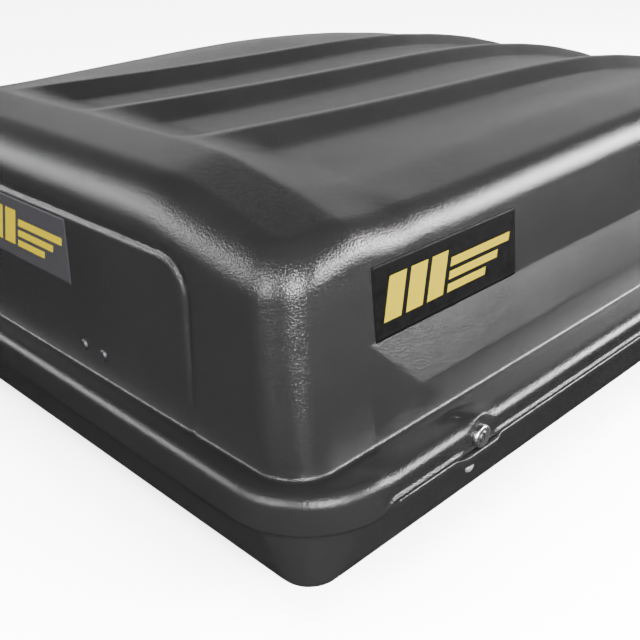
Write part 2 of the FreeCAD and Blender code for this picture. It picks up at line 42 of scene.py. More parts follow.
# ---- shape of the skins, millimetres --------------------------------------------------------------
SKIN = 3.5
RIM_X, RIM_Y = 750.0, 487.0
RIM_R_REAR, RIM_R_FRONT = 100.0, 140.0
FLANGE_Z = 101.0
SKIRT_Z = 61.0
SIDE_SKIRT_Z = 68.8
ROLL = 12.0
FOOT = 4.0                    # hollow fillet between wall and flange
WALL_X, WALL_Y = -721.7, 446.1
REAR_DRAFT, SIDE_DRAFT = 0.045, 0.085
NOSE_FOOT_X = 712.0
ROUND_REAR, ROUND_SIDE = 40.0, 27.0
SHOULDER_FALL = 0.14          # slope of the roof's border strips towards the walls
ROUND_PLAN = 46.0
RIDGE = 11.0
RIDGE_TOP_Z, RIDGE_Z, RIDGE_FOOT_Z = 203.0, 146.0, 104.0
RIDGE_END_X, RIDGE_END_RUN = -620.0, 56.0
OUTLINE_HALF_Y, OUTLINE_TOP_Z, OUTLINE_RADIUS = 304.0, 275.0, 38.0   # tall outline on the rear wall
GROOVE = 3.6                  # depth and half width of the outline's groove
CREST_FALL = 0.205            # slope of the crest outside the ribs
CREST_X = -620.0
ROOF_LINE = [(-900.0, 354.0), (-620.0, 345.6), (-468.0, 339.6), (-347.0, 335.6), (-205.0, 332.6),
             (-42.0, 330.0), (56.0, 326.2), (140.0, 320.5), (190.0, 314.7), (242.0, 308.3), (297.0, 299.7),
             (355.0, 288.4), (396.0, 278.5), (440.0, 267.5), (485.0, 254.0), (540.0, 235.0), (590.0, 212.0),
             (635.0, 184.0), (670.0, 155.0), (700.0, 122.0), (720.0, 92.0), (760.0, 15.0)]
RIB_PITCH = 189.0
RIB_HALF = 6.0
RIB_SLOPE = 25.0
RIB_HEIGHT = 18.0
CHANNEL_OUTER = 290.0
SHOULDER_INNER = 342.0
RAMP = (-616.0, -540.0)
BASE_X, BASE_Y = 729.5, 466.5
BASE_R_REAR, BASE_R_FRONT = 32.0, 60.0
BASE_R_LESS = 14.0            # wall corner at the flange, smaller than the rim's corner
SOLE_FILLET = 9.0
END_SETBACK = 5.5             # tray flange behind the rim at both ends
BASE_TOP, BASE_LIP = 68.0, 57.0
BASE_DRAFT = 10.0 / 64.5
REAR_STEP = 2.0
LOCK_X, LOCK_Z = -513.5, 80.5
DECAL_X = (-610.5, -397.5)
DECAL_Z = (201.0, 272.0)
LABEL_Y = (-101.0, 112.0)
LABEL_Z = (194.0, 267.0)
FILM = 0.4


def smooth(a, b, x):
    t = np.clip((x - a) / (b - a), 0.0, 1.0)
    return t * t * (3.0 - 2.0 * t)


def soft_step(a, b, x, blur):
    """Straight ramp from 0 at a to 1 at b with its two corners rounded by blur."""
    return (past(x - a, blur) - past(x - b, blur)) / (b - a)


class Curve:
    """Smooth curve through a few points (monotone cubic)."""

    def __init__(self, points):
        self.x, self.y = np.array(points, float).T
        width = np.diff(self.x)
        rise = np.diff(self.y) / width
        slope = np.zeros(len(self.x))
        slope[0], slope[-1] = rise[0], rise[-1]
        for i in range(1, len(rise)):
            if rise[i - 1] * rise[i] > 0:
                w1, w2 = 2 * width[i] + width[i - 1], width[i] + 2 * width[i - 1]
                slope[i] = (w1 + w2) / (w1 / rise[i - 1] + w2 / rise[i])
        self.slope = slope

    def __call__(self, x):
        i = np.clip(np.searchsorted(self.x, x) - 1, 0, len(self.x) - 2)
        width = self.x[i + 1] - self.x[i]
        t = np.clip((x - self.x[i]) / width, 0.0, 1.0)
        h00 = (1 + 2 * t) * (1 - t) ** 2
        h10 = t * (1 - t) ** 2
        h01 = t * t * (3 - 2 * t)
        h11 = t * t * (t - 1)
        return (h00 * self.y[i] + h10 * width * self.slope[i] + h01 * self.y[i + 1]
                + h11 * width * self.slope[i + 1])


roof_line = Curve(ROOF_LINE)
shoulder_drop = Curve([(-700.0, 27.0), (-525.0, 25.0), (-362.0, 17.0), (-270.0, 13.0), (-170.0, 9.5),
                       (-64.0, 8.0), (52.0, 8.5), (180.0, 10.0), (322.0, 10.0), (500.0, 10.0), (800.0, 10.0)])


def past(x, blur):
    """x where positive, else 0, with the corner rounded by blur."""
    return 0.5 * (x + np.sqrt(x * x + blur * blur))


def roof_height(x, y):
    """Ribs, channels and falling shoulders under the crest line."""
    side = np.abs(y)
    off_rib = np.minimum(np.abs(y), np.abs(side - RIB_PITCH))
    rib = soft_step(RIB_HALF, RIB_HALF + RIB_SLOPE, off_rib, 1.6)
    to_shoulder = smooth(CHANNEL_OUTER - 55.0, SHOULDER_INNER, side)
    fade = 1.0 - smooth(520.0, 660.0, x)
    drop = RIB_HEIGHT * rib * fade
    drop = drop + (shoulder_drop(x) - drop) * to_shoulder
    crest_drop = CREST_FALL * past(side - 250.0, 20.0)
    ramp = soft_step(RAMP[0], RAMP[1], x, 5.0)
    fall = SHOULDER_FALL * (past(side - 345.0, 12.0) * smooth(-640.0, -560.0, x) + past(CREST_X - x, 3.0))
    return roof_line(np.maximum(x, CREST_X)) - (crest_drop + (drop - crest_drop) * ramp) - fall


def meet(a, b, radius):
    """Signed distance to the meeting of two half spaces with a rounded edge."""
    u = np.maximum(a + radius, 0.0)
    v = np.maximum(b + radius, 0.0)
    return np.minimum(np.maximum(a, b), -radius) + np.hypot(u, v)


def outline(y, z, half_y, z_top, radius):
    """Distance from the outline of a tall panel with two round top corners."""
    dy = np.abs(y) - (half_y - radius)
    dz = z - (z_top - radius)
    outside = np.hypot(np.maximum(dy, 0.0), np.maximum(dz, 0.0))
    return outside + np.minimum(np.maximum(dy, dz), 0.0) - radius


def side_ridge(x, z):
    """Long crease low on the side wall: sloped face above it, upright face below, pointed rear end."""
    above = (RIDGE_TOP_Z - z) / (RIDGE_TOP_Z - RIDGE_Z)
    below = (z - RIDGE_FOOT_Z) / (RIDGE_Z - RIDGE_FOOT_Z)
    end = (x - RIDGE_END_X) / RIDGE_END_RUN
    return RIDGE * np.clip(np.minimum(np.minimum(above, below), end), 0.0, 1.0)


def lid_distance(x, y, z):
    """Signed distance, near the surface, to the lid's outer skin."""
    side = (np.abs(y) - (WALL_Y - SIDE_DRAFT * (z - FLANGE_Z)) - side_ridge(x, z)) * 0.996
    groove = np.abs(outline(y, z, OUTLINE_HALF_Y, OUTLINE_TOP_Z, OUTLINE_RADIUS))
    fade = smooth(100.0, 190.0, z) * 0.6 + 0.4
    cut = GROOVE * np.exp(-(groove / GROOVE) ** 2) * fade
    rear = (WALL_X + REAR_DRAFT * (z - FLANGE_Z) - x) * 0.999 + cut
    plan = meet(side, rear, ROUND_PLAN)
    step = 1.0
    slope = np.where(x > CREST_X, (roof_line(x + step) - roof_line(x - step)) / (2 * step), SHOULDER_FALL)
    top = (z - roof_height(x, y)) / np.sqrt(1.0 + slope * slope)
    turn = smooth(-90.0, 90.0, side - rear)
    radius = ROUND_REAR + (ROUND_SIDE - ROUND_REAR) * turn
    return meet(plan, top, radius)


# ---- mesh helpers ---------------------------------------------------------------------------------
def new_mesh(name, verts, faces, body, replaces=()):
    mesh = bpy.data.meshes.new(name)
    mesh.from_pydata((np.asarray(verts) * MM).tolist(), [], faces)
    mesh.validate()
    mesh.update()
    shape = bmesh.new()
    shape.from_mesh(mesh)
    bmesh.ops.recalc_face_normals(shape, faces=shape.faces)
    shape.to_mesh(mesh)
    shape.free()
    piece = bpy.data.objects.new(name, mesh)
    bpy.context.scene.collection.objects.link(piece)
    mesh.polygons.foreach_set("use_smooth", [True] * len(mesh.polygons))
    if replaces:
        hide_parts(*replaces)
    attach(piece, body)
    return piece


def rounded_ring(x0, x1, half_y, r_rear, r_front, marks):
    """Points and outward normals of a rounded rectangle at (part, fraction) marks."""
    corners = {"rr": (x0 + r_rear, -half_y + r_rear, r_rear, 180.0),
               "fr": (x1 - r_front, -half_y + r_front, r_front, 270.0),
               "fl": (x1 - r_front, half_y - r_front, r_front, 0.0),
               "rl": (x0 + r_rear, half_y - r_rear, r_rear, 90.0)}
    sides = {"right": ("rr", "fr"), "front": ("fr", "fl"), "left": ("fl", "rl"), "rear": ("rl", "rr")}
    points, normals = [], []
    for part, t in marks:
        if part in corners:
            cx, cy, r, start = corners[part]
            a = np.radians(start + 90.0 * t)
            n = (np.cos(a), np.sin(a))
            points.append((cx + r * n[0], cy + r * n[1]))
            normals.append(n)
        else:
            first, last = (corners[c] for c in sides[part])
            a = np.radians(last[3])
            n = np.array((np.cos(a), np.sin(a)))
            start = np.array(first[:2]) + first[2] * n
            end = np.array(last[:2]) + last[2] * n
            points.append(tuple(start + (end - start) * t))
            normals.append(tuple(n))
    return np.array(points), np.array(normals)


def ladder(stops, fine):
    """Coordinates from the first stop to the last; fine gives (low, high, spacing) stretches."""
    values = []
    x = stops[0]
    while x < stops[1] - 1e-6:
        values.append(x)
        x += min([s for low, high, s in fine if low - 1e-6 <= x < high - 1e-6] or [stops[2]])
    values.append(stops[1])
    return np.array(values)


# ---- lid ------------------------------------------------------------------------------------------
GRID_X = (-598.0, 600.0)
GRID_X_FINE = [(-598.0, -544.0, 3.0), (-544.0, -483.0, 1.7), (-483.0, -380.0, 4.0)]
GRID_Y = 318.0
CORNER_LINES = 16


def lid_columns():
    """Roof grid lines, its boundary points in order, and where each meets the rounded outlines."""
    xs = ladder((GRID_X[0], GRID_X[1], 7.0), GRID_X_FINE)
    fine = [(c - 44.0, c + 44.0, 2.5) for c in (-RIB_PITCH, 0.0, RIB_PITCH)]
    fine += [(-312.0, -288.0, 1.6), (288.0, 312.0, 1.6)]     # where the outline's groove climbs
    half = ladder((0.0, GRID_Y, 6.0), [(low, high, s) for low, high, s in fine if high > 0])
    ys = np.concatenate([-half[:0:-1], half])
    c = CORNER_LINES
    nx, ny = len(xs), len(ys)
    loop, marks = [], []

    def corner_mark(name, k):
        return (name, k / (2.0 * c))

    for i in range(nx):                      # right side, rear to front
        loop.append((i, 0))
        if i < c:
            marks.append(corner_mark("rr", c + i))
        elif i >= nx - c:
            marks.append(corner_mark("fr", i - (nx - c)))
        else:
            marks.append(("right", (xs[i] - xs[c]) / (xs[nx - c] - xs[c])))
    for j in range(1, ny):                   # front, right to left
        loop.append((nx - 1, j))
        if j <= c:
            marks.append(corner_mark("fr", c + j - 1))
        elif j >= ny - c:
            marks.append(corner_mark("fl", j - (ny - c)))
        else:
            marks.append(("front", (ys[j] - ys[c]) / (ys[ny - c] - ys[c])))
    for i in range(nx - 2, -1, -1):          # left side, front to rear
        loop.append((i, ny - 1))
        if i >= nx - c:
            marks.append(corner_mark("fl", c + (nx - 1 - i)))
        elif i < c:
            marks.append(corner_mark("rl", c - i))
        else:
            marks.append(("left", (xs[nx - c - 1] - xs[i]) / (xs[nx - c - 1] - xs[c - 1])))
    for j in range(ny - 2, 0, -1):           # rear, left to right
        loop.append((0, j))
        if j >= ny - c:
            marks.append(corner_mark("rl", c + (ny - 1 - j)))
        elif j < c:
            marks.append(corner_mark("rr", c - j))
        else:
            marks.append(("rear", (ys[ny - c - 1] - ys[j]) / (ys[ny - c - 1] - ys[c - 1])))
    return xs, ys, loop, marks


def solve_rays(origin, direction, level, reach):
    """Distance along each ray to the surface where lid_distance equals level."""
    low = np.zeros(len(origin))
    high = np.full(len(origin), reach)
    for _ in range(26):
        mid = 0.5 * (low + high)
        p = origin + direction * mid[:, None]
        inside = lid_distance(p[:, 0], p[:, 1], p[:, 2]) < level
        low = np.where(inside, mid, low)
        high = np.where(inside, high, mid)
    return 0.5 * (low + high)


def skin_rings(xs, ys, loop, foot, level, angles):
    """Rings of points from the foot of the wall up to the roof grid's edge, then the grid itself."""
    start = np.array([(xs[i], ys[j]) for i, j in loop])
    away = foot - start
    away /= np.linalg.norm(away, axis=1)[:, None]
    base_z = FLANGE_Z + FOOT
    rings = []
    for angle in angles:
        direction = np.column_stack([away * np.cos(angle), np.full(len(loop), np.sin(angle))])
        origin = np.column_stack([start, np.full(len(loop), base_z)])
        rings.append(origin + direction * solve_rays(origin, direction, level, 700.0)[:, None])
    gx, gy = np.meshgrid(xs, ys, indexing="ij")
    origin = np.column_stack([gx.ravel(), gy.ravel(), np.full(gx.size, base_z)])
    up = np.zeros_like(origin)
    up[:, 2] = 1.0
    roof = origin + up * solve_rays(origin, up, level, 400.0)[:, None]
    return rings, roof


def side_share(points):
    """1 along the open stretch of the side rims, 0 at the ends and round the corners."""
    x, y = points[:, 0], np.abs(points[:, 1])
    return smooth(-658.0, -636.0, x) * (1.0 - smooth(632.0, 660.0, x)) * (y > RIM_Y - 60.0)


def lock_share(points):
    x, y = points[:, 0], np.abs(points[:, 1])
    return np.exp(-np.abs((x - LOCK_X) / 25.0) ** 4) * (y > RIM_Y - 60.0)


def boss_push(points, z):
    """1 inside the round boss of the lock, seen along Y, falling to 0 just outside it."""
    away = np.hypot(points[:, 0] - LOCK_X, z - LOCK_Z)
    return (1.0 - smooth(19.0, 27.0, away)) * (np.abs(points[:, 1]) > RIM_Y - 60.0)


NECK = [(0.25, 0.35), (0.45, 0.8), (0.62, 1.0), (0.74, 0.8), (0.82, 0.1), (0.90, 0.0), (1.0, 0.0)]


def rim_rings(foot, normals, outer, outer_normals):
    """Profile of the rim from the wall's foot over the flange, round the roll and down the skirt."""
    rings = []

    def add(plan, z):
        rings.append(np.column_stack([plan, z if np.ndim(z) else np.full(len(plan), z)]))

    side = side_share(outer)
    lock = lock_share(outer)
    roll = ROLL + 5.0 * side                   # the roll is fuller along the sides
    drop = ROLL + 1.0 * side
    for angle in np.radians((22.5, 45.0, 67.5, 90.0)):
        add(foot + normals * (FOOT * (1.0 - np.cos(angle))), FLANGE_Z + FOOT * (1.0 - np.sin(angle)))
    inner_edge = foot + normals * FOOT
    outer_edge = outer - outer_normals * roll[:, None]
    step = 1.1 * side * (1.0 - lock)
    bump = 4.2 * np.exp(-np.abs((outer[:, 0] - LOCK_X) / 19.0) ** 4) * (np.abs(outer[:, 1]) > RIM_Y - 60.0)
    for share, low, lift in ((0.12, 0.0, 0.0), (0.30, 0.0, 0.0), (0.36, 0.5, 0.05), (0.42, 1.0, 0.15),
                             (0.55, 1.0, 0.5), (0.70, 1.0, 0.85), (0.85, 1.0, 1.0)):
        add(inner_edge + (outer_edge - inner_edge) * share, FLANGE_Z - step * low + bump * lift)
    crown = FLANGE_Z - step
    for angle in np.radians(np.arange(0.0, 91.0, 10.0)):
        z = crown - (drop - step) * (1.0 - np.cos(angle))
        push = boss_push(outer, z)
        out = roll * np.sin(angle)
        out = out + (roll - 1.5 * np.cos(angle) - out) * push
        z = z + 3.4 * push * np.cos(angle)
        add(outer_edge + outer_normals * out[:, None], z)
    low = SKIRT_Z + (SIDE_SKIRT_Z - SKIRT_Z) * side
    # neck above the flared side lip
    neck = 2.6 * side * (1.0 - np.exp(-np.abs((outer[:, 0] - LOCK_X) / 25.0) ** 8))
    top = crown - (drop - step)
    for share, inset in NECK:
        add(outer - outer_normals * (neck * inset)[:, None], top + (low - top) * share)
    add(outer - outer_normals * SKIN, low)
    inner = outer - outer_normals * SKIN
    add(inner, low + (86.0 - low) * 0.5)
    for angle in np.radians((0.0, 30.0, 60.0, 90.0)):
        r = ROLL - SKIN
        plan = inner - outer_normals * (r * (1.0 - np.cos(angle)))
        add(plan, FLANGE_Z - SKIN - r + r * np.sin(angle) - 1.2 * side)
    return rings


def make_lid():
    xs, ys, loop, marks = lid_columns()
    count = len(loop)
    foot, normals = rounded_ring(WALL_X, NOSE_FOOT_X, WALL_Y, ROUND_PLAN, 120.0, marks)
    outer, outer_normals = rounded_ring(-RIM_X, RIM_X, RIM_Y, RIM_R_REAR, RIM_R_FRONT, marks)
    wall = np.linspace(0.0, 64.0, 150)
    over = np.linspace(64.0, 90.0, 28)[1:-1]
    skin, roof = skin_rings(xs, ys, loop, foot, 0.0, np.radians(np.concatenate([wall, over])))
    lining, ceiling = skin_rings(xs, ys, loop, foot, -SKIN, np.radians(np.linspace(0.0, 88.0, 40)))
    rim = rim_rings(skin[0][:, :2], normals, outer, outer_normals)
    hem = lining[0].copy()
    hem[:, 2] = FLANGE_Z - SKIN
    rings = skin[::-1] + rim + [hem] + lining
    verts = np.concatenate(rings + [roof, ceiling])
    faces = []
    for k in range(len(rings) - 1):
        a, b = k * count, (k + 1) * count
        for n in range(count):
            m = (n + 1) % count
            faces.append((a + n, b + n, b + m, a + m))
    ny = len(ys)
    for base, ring, flip in ((len(rings) * count, 0, False),
                             (len(rings) * count + len(roof), (len(rings) - 1) * count, True)):
        def at(i, j):
            return base + i * ny + j
        for i in range(len(xs) - 1):
            for j in range(ny - 1):
                quad = (at(i, j), at(i + 1, j), at(i + 1, j + 1), at(i, j + 1))
                faces.append(quad[::-1] if flip else quad)
        for n in range(count):
            m = (n + 1) % count
            quad = (ring + n, ring + m, at(*loop[m]), at(*loop[n]))
            faces.append(quad if flip else quad[::-1])
    return new_mesh("lid_skin", verts, faces, "lid", ["lid_shell"])


# ---- base -----------------------------------------------------------------------------------------
BASE_SPACING = [("right", "fr", 200), ("front", "fl", 130), ("left", "rl", 200), ("rear", "rr", 260)]


def make_base():
    marks = []
    for side, corner, steps in BASE_SPACING:
        marks += [(side, k / steps) for k in range(steps)]
        marks += [(corner, k / 16.0) for k in range(16)]
    rings = []

    def wall_ring(grow, z, outside=True):
        climb = z / BASE_TOP
        inset = BASE_DRAFT * z - grow
        r_rear = BASE_R_REAR + (RIM_R_REAR - BASE_R_LESS - BASE_R_REAR) * climb - inset
        r_front = BASE_R_FRONT + (RIM_R_FRONT - BASE_R_LESS - BASE_R_FRONT) * climb - inset
        points, normals = rounded_ring(-BASE_X - grow, BASE_X + grow, BASE_Y + grow, r_rear, r_front, marks)
        if outside:
            # one shallow step of the rear wall near its right end, fading towards the sole
            rear = (points[:, 0] < -BASE_X + 2.0) * smooth(4.0, 50.0, z)
            step = REAR_STEP * rear * smooth(-414.0, -411.0, points[:, 1])
            points = points - normals * step[:, None]
        rings.append(np.column_stack([points, np.full(len(points), z)]))

    wall_ring(-SOLE_FILLET, 0.0)
    for angle in np.radians((22.5, 45.0, 67.5, 90.0)):
        z = SOLE_FILLET * (1.0 - np.cos(angle))
        wall_ring(-SOLE_FILLET + SOLE_FILLET * np.sin(angle) + BASE_DRAFT * z, z)
    for z in (15.0, 22.0, 29.0, 36.0, 43.0, 50.0, 57.0, 61.0, 64.4):
        wall_ring(BASE_DRAFT * z, z)
    half_x = RIM_X - END_SETBACK
    outer, normals = rounded_ring(-half_x, half_x, RIM_Y - END_SETBACK, RIM_R_REAR - END_SETBACK,
                                  RIM_R_FRONT - END_SETBACK, marks)
    along_side = np.abs(outer[:, 1]) > 470.0
    reach = END_SETBACK * smooth(-642.0, -634.0, outer[:, 0]) * (1.0 - smooth(634.0, 642.0, outer[:, 0]))
    reach = reach * along_side
    lock = np.exp(-np.abs((outer[:, 0] - LOCK_X) / 32.0) ** 10) * along_side
    reach = reach + 5.0 * lock
    edge = outer + normals * reach[:, None]
    for inset, z in ((SKIN, 64.5), (SKIN, BASE_LIP), (0.5, BASE_LIP), (0.0, BASE_LIP + 0.5),
                     (0.0, BASE_TOP - 1.5), (0.5, BASE_TOP - 0.4), (1.5, BASE_TOP)):
        rings.append(np.column_stack([edge - normals * inset, np.full(len(edge), z)]))
    wall_ring(BASE_DRAFT * BASE_TOP - SKIN, BASE_TOP, False)
    for z in (50.0, 30.0, 14.0):
        wall_ring(BASE_DRAFT * z - SKIN, z, False)
    r = SOLE_FILLET - SKIN
    for angle in np.radians((90.0, 60.0, 30.0, 0.0)):
        z = SKIN + r * (1.0 - np.cos(angle))
        wall_ring(-SKIN - r + r * np.sin(angle) + BASE_DRAFT * z, z, False)
    count = len(marks)
    total = len(rings) * count
    faces = []
    for k in range(len(rings) - 1):
        a, b = k * count, (k + 1) * count
        for n in range(count):
            m = (n + 1) % count
            faces.append((a + n, a + m, b + m, b + n))
    faces.append(tuple(range(count))[::-1])
    faces.append(tuple(range(total - count, total)))
    return new_mesh("base_skin", np.concatenate(rings), faces, "base", ["base_tray"])


# ---- printed films --------------------------------------------------------------------------------
def film_mesh(name, grid, body, replaces):
    """Thin printed film from a grid of points on the skin and their outward normals."""
    points, normals = grid
    rows, cols = points.shape[:2]
    low = (points + normals * 0.05).reshape(-1, 3)
    high = (points + normals * FILM).reshape(-1, 3)
    faces = []
    total = rows * cols
    for r in range(rows - 1):
        for c in range(cols - 1):
            a = r * cols + c
            faces.append((total + a, total + a + 1, total + a + cols + 1, total + a + cols))
            faces.append((a + cols, a + cols + 1, a + 1, a))
    edge = [c for c in range(cols)] + [r * cols + cols - 1 for r in range(1, rows)]
    edge += [(rows - 1) * cols + c for c in range(cols - 2, -1, -1)]
    edge += [r * cols for r in range(rows - 2, 0, -1)]
    for n, a in enumerate(edge):
        b = edge[(n + 1) % len(edge)]
        faces.append((a, b, total + b, total + a))
    piece = new_mesh(name, np.concatenate([low, high]), faces, body, replaces)
    uv = piece.data.uv_layers.new(name="film")
    across = np.tile(np.linspace(0.0, 1.0, cols), rows * 2)
    upward = np.tile(np.repeat(np.linspace(0.0, 1.0, rows), cols), 2)
    for loop in piece.data.loops:
        uv.data[loop.index].uv = (across[loop.vertex_index], upward[loop.vertex_index])
    return piece


def on_skin(origins, directions):
    """Points where rays meet the lid's skin, with outward normals."""
    shape = origins.shape
    o, d = origins.reshape(-1, 3), directions.reshape(-1, 3)
    p = o + d * solve_rays(o, d, 0.0, 400.0)[:, None]
    h = 0.5
    gradient = np.column_stack([
        lid_distance(p[:, 0] + h, p[:, 1], p[:, 2]) - lid_distance(p[:, 0] - h, p[:, 1], p[:, 2]),
        lid_distance(p[:, 0], p[:, 1] + h, p[:, 2]) - lid_distance(p[:, 0], p[:, 1] - h, p[:, 2]),
        lid_distance(p[:, 0], p[:, 1], p[:, 2] + h) - lid_distance(p[:, 0], p[:, 1], p[:, 2] - h)])
    gradient /= np.linalg.norm(gradient, axis=1)[:, None]
    return p.reshape(shape), gradient.reshape(shape)


def make_side_film(name, side):
    xs = np.linspace(DECAL_X[0], DECAL_X[1], 60)
    if side > 0:
        xs = xs[::-1]
    zs = np.linspace(DECAL_Z[0], DECAL_Z[1], 26)
    x, z = np.meshgrid(xs, zs)
    origins = np.stack([x, np.full_like(x, side * 200.0), z], axis=2)
    directions = np.zeros_like(origins)
    directions[:, :, 1] = side
    return film_mesh("film_" + name, on_skin(origins, directions), "lid",
                     ["side_decal_" + name])


def make_rear_film():
    ys = np.linspace(LABEL_Y[1], LABEL_Y[0], 60)
    zs = np.linspace(LABEL_Z[0], LABEL_Z[1], 26)
    y, z = np.meshgrid(ys, zs)
    origins = np.stack([np.full_like(y, -500.0), y, z], axis=2)
    directions = np.zeros_like(origins)
    directions[:, :, 0] = -1.0
    return film_mesh("film_rear", on_skin(origins, directions), "lid", ["rear_label"])


# ---- materials ------------------------------------------------------------------------------------
class Shader:
    """A principled material with helpers to add procedural variation."""

    def __init__(self, name, colour, roughness, metallic=0.0, coat=0.0, specular=0.5):
        self.material = bpy.data.materials.new(name)
        self.material.use_nodes = True
        self.tree = self.material.node_tree
        self.out = self.tree.nodes["Principled BSDF"]
        self.out.inputs["Base Color"].default_value = (*colour, 1.0)
        self.out.inputs["Roughness"].default_value = roughness
        self.out.inputs["Metallic"].default_value = metallic
        self.out.inputs["Coat Weight"].default_value = coat
        self.out.inputs["Specular IOR Level"].default_value = specular
        self.coords = self.tree.nodes.new("ShaderNodeTexCoord").outputs["Object"]

    def node(self, kind, **inputs):
        made = self.tree.nodes.new(kind)
        for key, value in inputs.items():
            key = key.replace("_", " ")
            if hasattr(value, "is_output"):
                self.tree.links.new(value, made.inputs[key])
            else:
                made.inputs[key].default_value = value
        return made

    def noise(self, scale, detail=3.0, stretch=(1.0, 1.0, 1.0)):
        place = self.node("ShaderNodeMapping", Vector=self.coords, Scale=stretch)
        return self.node("ShaderNodeTexNoise", Vector=place.outputs["Vector"], Scale=scale, Detail=detail)

    def remap(self, value, low, high, to_low, to_high):
        made = self.node("ShaderNodeMapRange", Value=value)
        for key, number in (("From Min", low), ("From Max", high), ("To Min", to_low), ("To Max", to_high)):
            made.inputs[key].default_value = number
        return made.outputs["Result"]

    def mix(self, factor, first, second):
        made = self.tree.nodes.new("ShaderNodeMix")
        made.data_type = "RGBA"
        for index, value in ((0, factor), (6, first), (7, second)):
            if hasattr(value, "is_output"):
                self.tree.links.new(value, made.inputs[index])
            elif index == 0:
                made.inputs[0].default_value = value
            else:
                made.inputs[index].default_value = (*value, 1.0)
        return made.outputs[2]

    def link(self, value, socket):
        self.tree.links.new(value, self.out.inputs[socket])

    def bump(self, layers):
        """Stack of (height output, strength, distance) bumps."""
        normal = None
        for height, strength, distance in layers:
            made = self.node("ShaderNodeBump", Height=height, Strength=strength, Distance=distance)
            if normal is not None:
                self.tree.links.new(normal, made.inputs["Normal"])
            normal = made.outputs["Normal"]
        self.link(normal, "Normal")


def plastic_sheet(name, tone=0.0025, rough=(0.20, 0.26), grain=0.0005):
    s = Shader(name, (tone, tone, tone), 0.4, specular=0.13)
    cloud = s.noise(9.0, 4.0).outputs["Fac"]
    fine = s.noise(900.0, 2.0).outputs["Fac"]
    cell = s.node("ShaderNodeTexVoronoi", Vector=s.coords, Scale=520.0).outputs["Distance"]
    dark = (tone * 0.85, tone * 0.85, tone * 0.87)
    pale = (tone * 1.2, tone * 1.2, tone * 1.2)
    s.link(s.mix(cloud, dark, pale), "Base Color")
    s.link(s.remap(cloud, 0.3, 0.7, rough[0], rough[1]), "Roughness")
    ripple = s.noise(14.0, 2.0).outputs["Fac"]
    s.bump([(ripple, 0.10, 0.0012), (cell, 0.5, grain), (fine, 0.6, grain)])
    return s.material


def metal(name, colour, rough, scratch=220.0):
    s = Shader(name, colour, rough, metallic=1.0)
    streak = s.noise(scratch, 3.0, (1.0, 1.0, 6.0)).outputs["Fac"]
    cloud = s.noise(60.0, 3.0).outputs["Fac"]
    s.link(s.remap(streak, 0.3, 0.7, rough * 0.75, rough * 1.3), "Roughness")
    s.link(s.mix(cloud, tuple(c * 0.8 for c in colour), colour), "Base Color")
    s.bump([(streak, 0.12, 0.00012)])
    return s.material


def rubber(name):
    s = Shader(name, (0.02, 0.02, 0.02), 0.75)
    cloud = s.noise(90.0, 4.0).outputs["Fac"]
    s.link(s.remap(cloud, 0.3, 0.7, 0.62, 0.85), "Roughness")
    s.link(s.mix(cloud, (0.014, 0.014, 0.014), (0.03, 0.03, 0.029)), "Base Color")
    s.bump([(s.noise(900.0).outputs["Fac"], 0.3, 0.0002)])
    return s.material


# printed blocks as low u, high u, low v, high v
FILM_BLOCKS = [(0.08, 0.19, 0.22, 0.80), (0.22, 0.33, 0.22, 0.80), (0.36, 0.47, 0.22, 0.80),
               (0.50, 0.94, 0.56, 0.68), (0.50, 0.86, 0.39, 0.50), (0.50, 0.78, 0.22, 0.33)]


def film_shader(name, ground, rough):
    """Printed film: three slanted bars and three stripes in yellow on a dark ground."""
    s = Shader(name, ground, rough, specular=0.02)
    uv = s.node("ShaderNodeUVMap")
    uv.uv_map = "film"
    axes = s.node("ShaderNodeSeparateXYZ", Vector=uv.outputs["UV"])
    u, v = axes.outputs["X"], axes.outputs["Y"]

    def calc(kind, a, b=0.0):
        made = s.tree.nodes.new("ShaderNodeMath")
        made.operation = kind
        for index, value in enumerate((a, b)):
            if hasattr(value, "is_output"):
                s.tree.links.new(value, made.inputs[index])
            else:
                made.inputs[index].default_value = value
        return made.outputs[0]

    slant = calc("SUBTRACT", u, calc("MULTIPLY", calc("SUBTRACT", v, 0.5), 0.09))

    def band(value, low, high):
        return calc("MULTIPLY", calc("GREATER_THAN", value, low), calc("LESS_THAN", value, high))

    def cell(u0, u1, v0, v1):
        return calc("MULTIPLY", band(slant, u0, u1), band(v, v0, v1))

    def both(a, b):
        return calc("MAXIMUM", a, b)

    ink = cell(*FILM_BLOCKS[0])
    for block in FILM_BLOCKS[1:]:
        ink = both(ink, cell(*block))
    wear = s.noise(120.0, 4.0).outputs["Fac"]
    yellow = s.mix(wear, (0.055, 0.042, 0.0), (0.065, 0.050, 0.0))
    dark = s.mix(wear, tuple(c * 0.85 for c in ground), ground)
    s.link(s.mix(ink, dark, yellow), "Base Color")
    s.link(s.remap(wear, 0.3, 0.7, rough * 0.85, rough * 1.2), "Roughness")
    s.bump([(s.noise(20.0).outputs["Fac"], 0.08, 0.0006)])
    return s.material


def paint(obj, material):
    obj.data.materials.clear()
    obj.data.materials.append(material)


